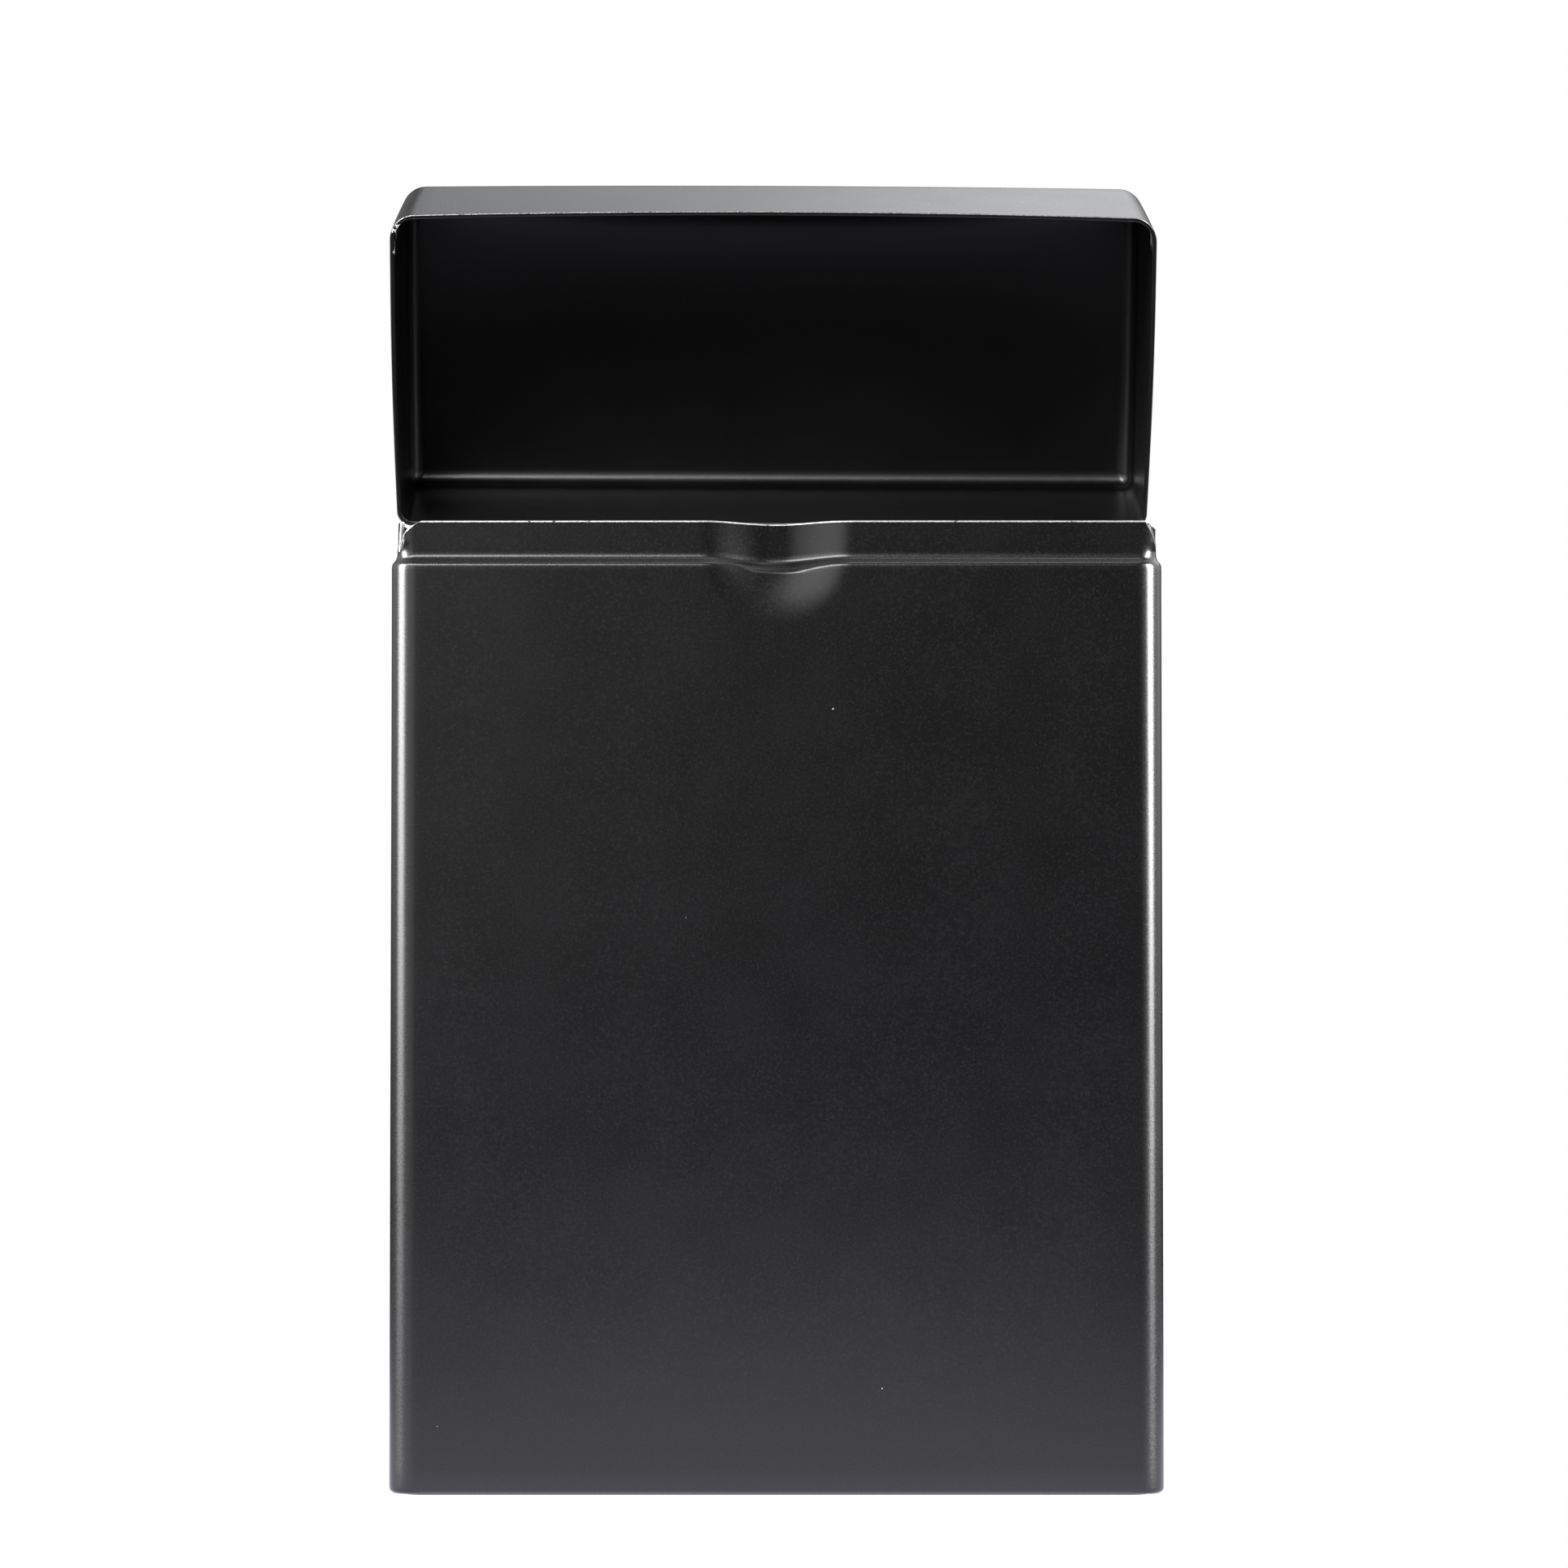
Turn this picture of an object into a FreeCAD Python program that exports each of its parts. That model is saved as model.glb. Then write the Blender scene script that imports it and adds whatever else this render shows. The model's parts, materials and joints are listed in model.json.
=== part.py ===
"""Pocket flip-top case in pressed sheet steel.

A rectangular case with a pan-shaped lid that swings back on a small external
hinge.  Millimetres, +Z up.

Frame: the origin is the centre of the underside of the base.  +X is the
user's right when the thumb recess faces the user, -Y is the front (the thumb
recess side) and +Y is the hinge side.  The lid is modelled open; the closed
position is lid_angle degrees the other way about the hinge pin.
"""
import FreeCAD, Part
import math
import os
import sys

import Sketcher
from FreeCAD import Placement, Rotation, Vector

os.makedirs("parts", exist_ok=True)

doc = FreeCAD.newDocument("flip_top_case")

# ---------------------------------------------------------------- dimensions
# (alias, value) rows
DIMS = [
    # case
    ("case_width", 60.0),         # outside, across X
    ("case_depth", 25.4),         # outside, across Y
    ("gauge", 0.35),              # sheet thickness of case, base and lid
    ("corner_radius", 1.95),      # vertical corners, outside
    ("shoulder_height", 72.75),   # top of the back wall, mid-height of the step
    ("neck_top", 75.85),          # top edge of the front and side tongues
    ("neck_inset", 0.63),         # how far the neck is stepped in
    ("neck_corner_extra", 0.3),   # added to the inside corner radius of the neck
    ("joggle_drop", 0.75),        # height over which the step runs
    ("joggle_skin", 0.004),       # the step's lower outline lies this far inside
    ("wall_bottom", 0.15),        # the rolled lower edge stands this far up
    ("roll_radius", 0.5),         # outside radius of the rolled lower edge
    ("neck_back", 9.6),           # the side tongues end here, in Y
    ("slit_width", 0.26),         # slanted slit in each side tongue
    ("slit_inset_low", 0.20),     # its inner edge inside the neck face, at the foot
    ("slit_inset_top", 0.95),     # and at the top
    ("slit_overrun", 0.5),        # its outline runs this far above the neck
    # thumb recess
    ("thumb_height", 73.0),       # centre of the pressed recess
    ("thumb_radius", 5.3),        # its radius on the front face
    ("thumb_depth", 1.0),         # its depth
    # base pan
    ("base_half_x", 29.1),
    ("base_half_y", 11.8),
    ("base_rise", 1.4),
    ("base_corner", 1.4),
    # lid
    ("rim_height", 72.9),         # free edge of the closed lid
    ("lid_height", 17.2),         # free edge to top of the closed lid
    ("lid_edge_radius", 1.9),     # top edges, outside
    ("lid_front_flare", 0.65),    # each side skirt stands out this much in front
    ("lid_back_flare", 0.13),     # and this much at the back
    ("lid_angle", 78.0),          # opening of the lid as modelled
    # pressed catch nubs inside the side skirts
    ("nub_depth", 0.14),
    ("nub_radius", 1.1),
    ("nub_setback", 3.4),         # centre behind the front face
    ("nub_rise", 1.5),            # centre above the rim
    ("nub_limit_length", 2.0),    # box that bounds the added metal, along X
    ("nub_limit_width", 4.0),     # along Y
    ("nub_limit_height", 2.9),    # along Z
    ("nub_limit_drop", 1.4),      # the box starts this far below the centre
    # hinge
    ("hinge_setback", 1.2),       # pin axis behind the back face
    ("hinge_height", 75.02),      # pin axis above the base
    ("knuckle_radius", 1.1),
    ("knuckle_gap", 0.15),
    ("pin_radius", 0.65),
    ("pin_clearance", 0.05),
    ("pin_overhang", 0.02),       # pin shank beyond each end of the leaves
    ("pin_head_length", 0.35),
    ("pin_head_lip", 0.3),        # head radius over pin radius
    ("leaf_gauge", 0.4),
    ("leaf_half", 22.0),          # half the length of the leaves
    ("leaf_drop", 8.6),           # body leaf, below the pin axis
    ("leaf_rise", 7.0),           # lid leaf, above the pin axis when closed
    ("plate_start", 1.45),        # leaf plates begin this far from the pin axis
    ("web_reach", 1.5),           # webs run from the axis to this distance
    ("lug_clearance", 0.03),      # stop lug behind the body leaf
    ("lug_gauge", 0.42),
    ("lug_height", 1.0),
    ("lug_drop", 1.75),           # underside of the lug below the pin axis
    # rivets
    ("rivet_pitch", 17.0),
    ("body_rivet_rise", 3.0),     # above the lower edge of the body leaf
    ("lid_rivet_drop", 2.6),      # below the upper edge of the closed lid leaf
    ("rivet_radius", 0.8),
    ("rivet_head", 1.5),          # radius of the head
    ("rivet_head_height", 0.45),
    ("rivet_sink", 1.15),         # countersink radius on the inner face
    ("sink_share", 0.6),          # countersink depth as a share of the gauge
    ("rivet_under", 0.12),        # the closed end stays this far below the face
    ("shank_overlap", 0.1),       # the shank reaches this far into the head
    # how far cutting shapes stand clear of the metal
    ("cut_over", 1.0),
    ("cut_margin", 2.0),
    ("ring_overrun", 4.0),        # step outline beyond the end of the side tongues
]

# (alias, formula) rows, worked out by the sheet
CAP_BALL = "({%s}*{%s}+{%s}*{%s})/(2*{%s})"   # ball radius from cap radius and height


def cap_ball(cap_radius, cap_height):
    return CAP_BALL % (cap_radius, cap_radius, cap_height, cap_height, cap_height)


DERIVED = [
    ("half_width", "{case_width}/2"),
    ("half_depth", "{case_depth}/2"),
    ("neck_half_width", "{half_width}-{neck_inset}"),
    ("neck_plane", "{neck_top}+{cut_over}"),      # cuts into the neck start here
    ("step_low", "{shoulder_height}-{joggle_drop}/2"),
    ("step_top", "{shoulder_height}+{joggle_drop}/2"),
    ("inner_step_low", "{step_low}-{gauge}/2"),
    ("inner_step_top", "{step_top}-{gauge}/2"),
    ("floor_height", "{wall_bottom}+{gauge}"),
    ("thumb_ball", cap_ball("thumb_radius", "thumb_depth")),
    ("pan_edge_radius", "{gauge}*0.4"),
    ("lid_front_half", "{half_width}+{lid_front_flare}"),
    ("lid_back_half", "{half_width}+{lid_back_flare}"),
    ("lid_top", "{rim_height}+{lid_height}"),
    ("nub_ball", cap_ball("nub_radius", "nub_depth")),
    ("nub_y", "{nub_setback}-{half_depth}"),
    ("nub_height", "{rim_height}+{nub_rise}"),
    ("nub_face", "{lid_back_half}+({case_depth}-{nub_setback})"   # skirt face at the nub
                 "*({lid_front_flare}-{lid_back_flare})/{case_depth}"),
    ("pin_axis_y", "{half_depth}+{hinge_setback}"),
    ("knuckle_pitch", "2*{leaf_half}/5"),
    ("pin_half", "{leaf_half}+{pin_overhang}"),
    ("leaf_face", "{half_depth}+{leaf_gauge}"),   # outer face of the leaves
    ("body_rivet_z", "{hinge_height}-{leaf_drop}+{body_rivet_rise}"),
    ("lid_rivet_z", "{hinge_height}+{leaf_rise}-{lid_rivet_drop}"),
    ("rivet_ball", cap_ball("rivet_head", "rivet_head_height")),
    ("sink_depth", "{sink_share}*{gauge}"),
]


def in_sheet(expression):
    """An expression as the sheet itself reads it: {name} becomes name."""
    return "=" + expression.replace("{", "").replace("}", "")


def ref(expression):
    """An expression as other objects read it: {name} becomes dims.name."""
    return expression.replace("{", "dims.").replace("}", "")


sheet = doc.addObject("Spreadsheet::Sheet", "dims")
rows = [(alias, repr(value)) for alias, value in DIMS]
rows += [(alias, in_sheet(formula)) for alias, formula in DERIVED]
for row, (alias, content) in enumerate(rows, start=1):
    sheet.set("A%d" % row, alias)
    sheet.set("B%d" % row, content)
    sheet.setAlias("B%d" % row, alias)
doc.recompute()


def value_of(expression):
    """The present value of an expression, worked out by the sheet."""
    sheet.set("D1", in_sheet(expression))
    sheet.recompute()
    return float(sheet.get("D1"))


# ---------------------------------------------------------------- sketches
def new_body(name):
    return doc.addObject("PartDesign::Body", name)


def new_sketch(body, name, role="XY_Plane", offset=None):
    """A sketch on one of the body's own origin planes, lifted by offset."""
    plane = next(item for item in body.Origin.OriginFeatures if item.Role == role)
    sketch = body.newObject("Sketcher::SketchObject", name)
    sketch.AttachmentSupport = (plane, [""])
    sketch.MapMode = "FlatFace"
    if offset is not None:
        sketch.setExpression("AttachmentOffset.Base.z", ref(offset))
    return sketch


def drive(sketch, name, kind, elements, expression):
    """Add a named dimension that follows the sheet."""
    constraint = Sketcher.Constraint(kind, *elements, value_of(expression))
    index = sketch.addConstraint(constraint)
    sketch.renameConstraint(index, name)
    sketch.setExpression("Constraints." + name, ref(expression))


def line(x1, y1, x2, y2):
    return Part.LineSegment(Vector(x1, y1, 0), Vector(x2, y2, 0))


def arc(x, y, radius, start, end):
    """Arc about (x, y); angles in radians."""
    return Part.ArcOfCircle(Part.Circle(Vector(x, y, 0), Vector(0, 0, 1), radius), start, end)


QUARTER = math.pi / 2


def round_cornered(sketch, front_centre, back_centre, radius, tilt=0.0):
    """Outline symmetric in X, from the corner centres on the +X side.

    Geometry 0 front, 2 right, 4 back, 6 left; the odd ones are the corner
    arcs.  The sides lean by tilt from the Y direction.
    """
    front_x, front_y = front_centre
    back_x, back_y = back_centre
    touch_x, touch_y = radius * math.cos(tilt), radius * math.sin(tilt)
    side_front = (front_x + touch_x, front_y + touch_y)
    side_back = (back_x + touch_x, back_y + touch_y)
    sketch.addGeometry([
        line(-front_x, front_y - radius, front_x, front_y - radius),
        arc(front_x, front_y, radius, -QUARTER, tilt),
        line(*side_front, *side_back),
        arc(back_x, back_y, radius, tilt, QUARTER),
        line(back_x, back_y + radius, -back_x, back_y + radius),
        arc(-back_x, back_y, radius, QUARTER, 2 * QUARTER - tilt),
        line(-side_back[0], side_back[1], -side_front[0], side_front[1]),
        arc(-front_x, front_y, radius, 2 * QUARTER - tilt, 3 * QUARTER),
    ], False)
    constraint = Sketcher.Constraint
    sketch.addConstraint(
        [constraint("Tangent", i, 2, (i + 1) % 8, 1) for i in range(8)]
        + [constraint("Equal", i, i + 2) for i in (1, 3, 5)])


def rounded_rectangle(sketch, half_x, front, back, corner):
    """Sizes are expressions; front and back are distances from the X axis."""
    centre_x = value_of(half_x) - value_of(corner)
    radius = value_of(corner)
    round_cornered(sketch, (centre_x, radius - value_of(front)),
                   (centre_x, value_of(back) - radius), radius)
    constraint = Sketcher.Constraint
    sketch.addConstraint([
        constraint("Horizontal", 0), constraint("Vertical", 2),
        constraint("Horizontal", 4), constraint("Vertical", 6),
    ])
    drive(sketch, "right", "DistanceX", (-1, 1, 2, 1), half_x)
    drive(sketch, "left", "DistanceX", (6, 1, -1, 1), half_x)
    drive(sketch, "front", "DistanceY", (0, 1, -1, 1), front)
    drive(sketch, "back", "DistanceY", (-1, 1, 4, 1), back)
    drive(sketch, "corner", "Radius", (1,), corner)


def polygon(sketch, points):
    """A closed outline through points off the axes, each (x, y) expressions."""
    places = [(value_of(x), value_of(y)) for x, y in points]
    count = len(places)
    sketch.addGeometry([line(*places[i], *places[(i + 1) % count]) for i in range(count)], False)
    for i in range(count):
        sketch.addConstraint(Sketcher.Constraint("Coincident", i, 2, (i + 1) % count, 1))
    for i in range(count):
        for axis, value, expression in zip("xy", places[i], points[i]):
            name, kind = "p%d_%s" % (i, axis), "Distance" + axis.upper()
            if value > 0:
                drive(sketch, name, kind, (-1, 1, i, 1), expression)
            else:
                drive(sketch, name, kind, (i, 1, -1, 1), "-(%s)" % expression)


def step_ring(sketch, inset):
    """Ring open to the back, whose inner edge is the case outline less inset."""
    half_x, front, corner = ["{%s}-{%s}" % (name, inset)
                             for name in ("half_width", "half_depth", "corner_radius")]
    back = "{neck_back}+{ring_overrun}"
    far_x, far_front = "{half_width}+{cut_margin}", "{half_depth}+{cut_margin}"
    ix, iy, radius = value_of(half_x), -value_of(front), value_of(corner)
    ox, oy, end_y = value_of(far_x), -value_of(far_front), value_of(back)
    sketch.addGeometry([
        line(ix, end_y, ix, iy + radius),
        arc(ix - radius, iy + radius, radius, -QUARTER, 0),
        line(ix - radius, iy, -ix + radius, iy),
        arc(-ix + radius, iy + radius, radius, 2 * QUARTER, 3 * QUARTER),
        line(-ix, iy + radius, -ix, end_y),
        line(-ix, end_y, -ox, end_y),
        line(-ox, end_y, -ox, oy),
        line(-ox, oy, ox, oy),
        line(ox, oy, ox, end_y),
        line(ox, end_y, ix, end_y),
    ], False)
    constraint = Sketcher.Constraint
    sketch.addConstraint(
        [constraint("Tangent", 0, 2, 1, 2), constraint("Tangent", 1, 1, 2, 1),
         constraint("Tangent", 2, 2, 3, 2), constraint("Tangent", 3, 1, 4, 1)]
        + [constraint("Coincident", i, 2, (i + 1) % 10, 1) for i in range(4, 10)]
        + [constraint("Vertical", i) for i in (0, 4, 6, 8)]
        + [constraint("Horizontal", i) for i in (2, 5, 7, 9)]
        + [constraint("Equal", 1, 3)])
    drive(sketch, "right_x", "DistanceX", (-1, 1, 0, 1), half_x)
    drive(sketch, "left_x", "DistanceX", (4, 2, -1, 1), half_x)
    drive(sketch, "front_y", "DistanceY", (2, 1, -1, 1), front)
    drive(sketch, "corner", "Radius", (1,), corner)
    drive(sketch, "right_end", "DistanceY", (-1, 1, 0, 1), back)
    drive(sketch, "left_end", "DistanceY", (-1, 1, 4, 2), back)
    drive(sketch, "far_left", "DistanceX", (6, 1, -1, 1), far_x)
    drive(sketch, "far_right", "DistanceX", (-1, 1, 8, 1), far_x)
    drive(sketch, "far_front", "DistanceY", (7, 1, -1, 1), far_front)


def lid_outline(sketch, inset):
    """Symmetric trapezoid with round corners: the lid's plan less inset."""
    front_half, back_half, half_y, corner = [
        "{%s}-(%s)" % (name, inset)
        for name in ("lid_front_half", "lid_back_half", "half_depth", "corner_radius")]
    front_x, back_x = value_of(front_half), value_of(back_half)
    depth, radius = value_of(half_y), value_of(corner)
    slope = (front_x - back_x) / (2 * depth)
    tilt = math.atan2(front_x - back_x, 2 * depth)

    def centre(y):
        """Corner centre at y whose arc touches the side skirt."""
        return back_x + (depth - y) * slope - radius / math.cos(tilt), y

    round_cornered(sketch, centre(radius - depth), centre(depth - radius), radius, tilt)
    # the sharp corners of the trapezoid, as construction points
    sketch.addGeometry([Part.Point(Vector(front_x, -depth, 0)),
                        Part.Point(Vector(back_x, depth, 0))], True)
    constraint = Sketcher.Constraint
    sketch.addConstraint([
        constraint("Symmetric", 0, 1, 0, 2, -2), constraint("Symmetric", 4, 1, 4, 2, -2),
        constraint("PointOnObject", 8, 1, 2), constraint("PointOnObject", 9, 1, 2),
    ])
    drive(sketch, "front_x", "DistanceX", (-1, 1, 8, 1), front_half)
    drive(sketch, "front_y", "DistanceY", (8, 1, -1, 1), half_y)
    drive(sketch, "back_x", "DistanceX", (-1, 1, 9, 1), back_half)
    drive(sketch, "back_y", "DistanceY", (-1, 1, 9, 1), half_y)
    drive(sketch, "front_side", "DistanceY", (0, 1, -1, 1), half_y)
    drive(sketch, "back_side", "DistanceY", (-1, 1, 4, 1), half_y)
    drive(sketch, "corner", "Radius", (1,), corner)


# ---------------------------------------------------------------- features
def pad(body, sketch, length, name):
    feature = body.newObject("PartDesign::Pad", name)
    feature.Profile = sketch
    feature.setExpression("Length", ref(length))
    doc.recompute()
    return feature


def pocket(body, sketch, length, name):
    """Cut against the sketch normal; the volume must fall."""
    before = body.Shape.Volume
    feature = body.newObject("PartDesign::Pocket", name)
    feature.Profile = sketch
    feature.Type = 0  # by length
    feature.setExpression("Length", ref(length))
    doc.recompute()
    if not feature.Shape.Volume < before - 1e-6:
        raise RuntimeError("pocket %s removed nothing" % name)
    return feature


def loft_cut(body, first, second, name):
    feature = body.newObject("PartDesign::SubtractiveLoft", name)
    feature.Profile = first
    feature.Sections = [(second, [""])]
    feature.Ruled = True
    doc.recompute()


def fillet_level(body, base, level, radius, name):
    """Round every edge of base that lies wholly at the height level."""
    z = value_of(level)
    names = ["Edge%d" % i for i, edge in enumerate(base.Shape.Edges, start=1)
             if all(abs(vertex.Point.z - z) < 1e-6 for vertex in edge.Vertexes)]
    feature = body.newObject("PartDesign::Fillet", name)
    feature.Base = (base, names)
    feature.setExpression("Radius", ref(radius))
    doc.recompute()


# ---------------------------------------------------------------- Part solids
ALONG_X = Rotation(Vector(0, 1, 0), 90)
TO_FRONT = Rotation(Vector(1, 0, 0), 90)  # a cylinder or cone then runs towards -Y


def solid(kind, name, position, turn=Rotation(), **sizes):
    """A Part primitive whose sizes and position are expressions."""
    item = doc.addObject("Part::" + kind, name)
    item.Placement = Placement(Vector(), turn)
    for size, expression in sizes.items():
        item.setExpression(size, ref(expression))
    for axis, expression in zip("xyz", position):
        item.setExpression("Placement.Base." + axis, ref(expression))
    return item


def boolean(kind, name, base, tool):
    """Part::Cut, Part::Fuse or Part::Common of two objects."""
    item = doc.addObject("Part::" + kind, name)
    item.Base, item.Tool = base, tool
    return item


def fuse(name, pieces):
    joined = doc.addObject("Part::MultiFuse", name)
    joined.Shapes = pieces
    joined.Refine = True
    return joined


def compound(name, pieces):
    group = doc.addObject("Part::Compound", name)
    group.Links = pieces
    return group


# ---------------------------------------------------------------- body shell
def make_shell():
    """Four walls in one wrapped sheet.

    The front and side walls step in at the shoulder to a neck; the back wall
    stays straight and stops at the shoulder.
    """
    shell = new_body("case_shell_solid")
    sketch = new_sketch(shell, "shell_outline", offset="{wall_bottom}")
    rounded_rectangle(sketch, "{half_width}", "{half_depth}", "{half_depth}", "{corner_radius}")
    block = pad(shell, sketch, "{neck_top}-{wall_bottom}", "shell_block")
    fillet_level(shell, block, "{wall_bottom}", "{roll_radius}", "rolled_edge")

    # everything above the shoulder goes behind the side tongues
    sketch = new_sketch(shell, "back_cut_outline", offset="{neck_plane}")
    left, right = "-{half_width}-{cut_margin}", "{half_width}+{cut_margin}"
    behind = "{half_depth}+{cut_margin}"
    polygon(sketch, [(left, "{neck_back}"), (right, "{neck_back}"),
                     (right, behind), (left, behind)])
    pocket(shell, sketch, "{neck_plane}-{shoulder_height}", "back_cut")

    # outside of the neck, then the sloping step under it
    sketch = new_sketch(shell, "neck_ring", offset="{neck_plane}")
    step_ring(sketch, "neck_inset")
    pocket(shell, sketch, "{neck_plane}-{step_top}", "neck_step")
    upper = new_sketch(shell, "joggle_top", offset="{step_top}")
    step_ring(upper, "neck_inset")
    lower = new_sketch(shell, "joggle_low", offset="{step_low}")
    step_ring(lower, "joggle_skin")
    loft_cut(shell, upper, lower, "joggle_outside")

    # cavity: wide below the shoulder, narrower inside the neck
    inner_back = "{half_depth}-{gauge}"
    wide = ("{half_width}-{gauge}", "{half_depth}-{gauge}", inner_back,
            "{corner_radius}-{gauge}")
    narrow = ("{neck_half_width}-{gauge}", "{half_depth}-{gauge}-{neck_inset}", inner_back,
              "{corner_radius}-{gauge}-{neck_inset}+{neck_corner_extra}")
    sketch = new_sketch(shell, "cavity_low", offset="{inner_step_low}")
    rounded_rectangle(sketch, *wide)
    cavity = pocket(shell, sketch, "{inner_step_low}-{floor_height}", "cavity")
    fillet_level(shell, cavity, "{floor_height}", "{roll_radius}-{gauge}", "rolled_edge_inside")
    sketch = new_sketch(shell, "cavity_neck", offset="{neck_plane}")
    rounded_rectangle(sketch, *narrow)
    pocket(shell, sketch, "{neck_plane}-{inner_step_top}", "neck_cavity")
    lower = new_sketch(shell, "cavity_joggle_low", offset="{inner_step_low}")
    rounded_rectangle(lower, *wide)
    upper = new_sketch(shell, "cavity_joggle_high", offset="{inner_step_top}")
    rounded_rectangle(upper, *narrow)
    loft_cut(shell, lower, upper, "joggle_inside")

    # opening in the underside, closed by the base pan
    sketch = new_sketch(shell, "bottom_opening", offset="{floor_height}+{cut_over}")
    rounded_rectangle(sketch, "{base_half_x}", "{base_half_y}", "{base_half_y}",
                      "{base_corner}")
    pocket(shell, sketch, "{gauge}+2*{cut_over}", "bottom_cut")

    # slit in each side tongue, from mid-depth, leaning inwards as it rises
    foot_z, top_z = "{shoulder_height}+{joggle_drop}", "{neck_top}+{slit_overrun}"
    for sign, side in (("", "right"), ("-", "left")):
        foot, top = ["({neck_half_width}-{%s}" % inset
                     for inset in ("slit_inset_low", "slit_inset_top")]
        sketch = new_sketch(shell, "slit_" + side, role="XZ_Plane")
        polygon(sketch, [(sign + foot + ")", foot_z),
                         (sign + foot + "+{slit_width})", foot_z),
                         (sign + top + "+{slit_width})", top_z),
                         (sign + top + ")", top_z)])
        pocket(shell, sketch, "{half_depth}+{cut_over}", "slit_cut_" + side)
    return shell


def press_thumb_recess(shell):
    """Cut a shallow spherical dish in the front and add sheet behind it."""
    centre = ("0", "-{half_depth}+{thumb_depth}-{thumb_ball}", "{thumb_height}")
    dish = solid("Sphere", "dish_outer", centre, Radius="{thumb_ball}")
    back = solid("Sphere", "dish_inner", centre, Radius="{thumb_ball}+{gauge}")
    # the added metal starts half a gauge inside the outer face: of the wall
    # below the step, and of the stepped-in neck above it
    limits = []
    for name, front, low, high in (
        ("wall", "-{half_depth}+{gauge}/2", "{thumb_height}-2*{thumb_radius}", "{step_low}"),
        ("neck", "-{half_depth}+{neck_inset}+{gauge}/2", "{step_low}", "{neck_top}"),
    ):
        limits.append(solid("Box", "dish_limit_" + name, ("-2*{thumb_radius}", front, low),
                            Length="4*{thumb_radius}",
                            Width="{thumb_depth}+2*{gauge}+{neck_inset}",
                            Height="(%s)-(%s)" % (high, low)))
    limit = boolean("Fuse", "dish_limit", *limits)
    wall = boolean("Common", "dish_wall", back, limit)
    with_back = boolean("Fuse", "shell_with_dish_back", shell, wall)
    return boolean("Cut", "body_shell_undrilled", with_back, dish)


undrilled_body = press_thumb_recess(make_shell())
doc.recompute()


# ---------------------------------------------------------------- base pan
def make_base_pan():
    """A flat tray in the underside opening, its rim turned up."""
    pan = new_body("base_pan")
    sketch = new_sketch(pan, "pan_outline")
    rounded_rectangle(sketch, "{base_half_x}", "{base_half_y}", "{base_half_y}",
                      "{base_corner}")
    block = pad(pan, sketch, "{base_rise}", "pan_block")
    fillet_level(pan, block, "0", "{pan_edge_radius}", "pan_edge")
    sketch = new_sketch(pan, "pan_inside", offset="{base_rise}")
    rounded_rectangle(sketch, "{base_half_x}-{gauge}", "{base_half_y}-{gauge}",
                      "{base_half_y}-{gauge}", "{base_corner}-{gauge}")
    pocket(pan, sketch, "{base_rise}-{gauge}", "pan_hollow")
    return pan


base_pan = make_base_pan()


# ---------------------------------------------------------------- lid shell
# Drawn closed.  In plan the lid is a little wider at the front than at the
# hinge: the side skirts flare outwards.
def make_lid_pan():
    lid = new_body("lid_pan")
    sketch = new_sketch(lid, "lid_plan", offset="{rim_height}")
    lid_outline(sketch, "0")
    block = pad(lid, sketch, "{lid_height}", "lid_block")
    fillet_level(lid, block, "{lid_top}", "{lid_edge_radius}", "lid_edges")

    core = new_body("lid_core")
    sketch = new_sketch(core, "core_plan", offset="{rim_height}-{cut_over}")
    lid_outline(sketch, "{gauge}")
    block = pad(core, sketch, "{lid_height}+{cut_over}-{gauge}", "core_block")
    fillet_level(core, block, "{lid_top}-{gauge}", "{lid_edge_radius}-{gauge}", "core_edges")
    return boolean("Cut", "lid_hollow", lid, core)


def press_nubs(lid):
    """Nubs pressed inwards near the front of the side skirts, dimpled outside."""
    for sign, side, limit_shift in (("", "right", "-{nub_limit_length}"), ("-", "left", "")):
        centre = (sign + "({nub_face}-{nub_depth}+{nub_ball})", "{nub_y}", "{nub_height}")
        back = solid("Sphere", "nub_back_" + side, centre, Radius="{nub_ball}+{gauge}")
        dimple = solid("Sphere", "nub_dimple_" + side, centre, Radius="{nub_ball}")
        # the added metal starts at mid-gauge and lies inside the skirt
        limit = solid("Box", "nub_limit_" + side,
                      (sign + "({nub_face}-{gauge}/2)" + limit_shift,
                       "{nub_y}-{nub_limit_width}/2", "{nub_height}-{nub_limit_drop}"),
                      Length="{nub_limit_length}", Width="{nub_limit_width}",
                      Height="{nub_limit_height}")
        bump = boolean("Common", "nub_bump_" + side, back, limit)
        lid = boolean("Fuse", "lid_nub_" + side, lid, bump)
        lid = boolean("Cut", "lid_dimple_" + side, lid, dimple)
    return lid


undrilled_lid = press_nubs(make_lid_pan())
undrilled_lid.Label = "lid_shell_undrilled"
doc.recompute()

# ---------------------------------------------------------------- hinge
KNUCKLES = 5  # body, lid, body, lid, body along the leaf length


def knuckle_span(index):
    """The X limits of one knuckle, with a gap to each neighbour."""
    low = "-{leaf_half}+%d*{knuckle_pitch}" % index
    high = "-{leaf_half}+%d*{knuckle_pitch}" % (index + 1)
    if index > 0:
        low += "+{knuckle_gap}/2"
    if index < KNUCKLES - 1:
        high += "-{knuckle_gap}/2"
    return low, high


body_spans = [knuckle_span(i) for i in range(0, KNUCKLES, 2)]
lid_spans = [knuckle_span(i) for i in range(1, KNUCKLES, 2)]
rivet_places = ["%d*{rivet_pitch}" % i for i in (-1, 0, 1)]  # along X


def bar(name, low, high, radius):
    """A cylinder on the pin axis between two X limits."""
    return solid("Cylinder", name, (low, "{pin_axis_y}", "{hinge_height}"), ALONG_X,
                 Radius=radius, Height="(%s)-(%s)" % (high, low))


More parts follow.
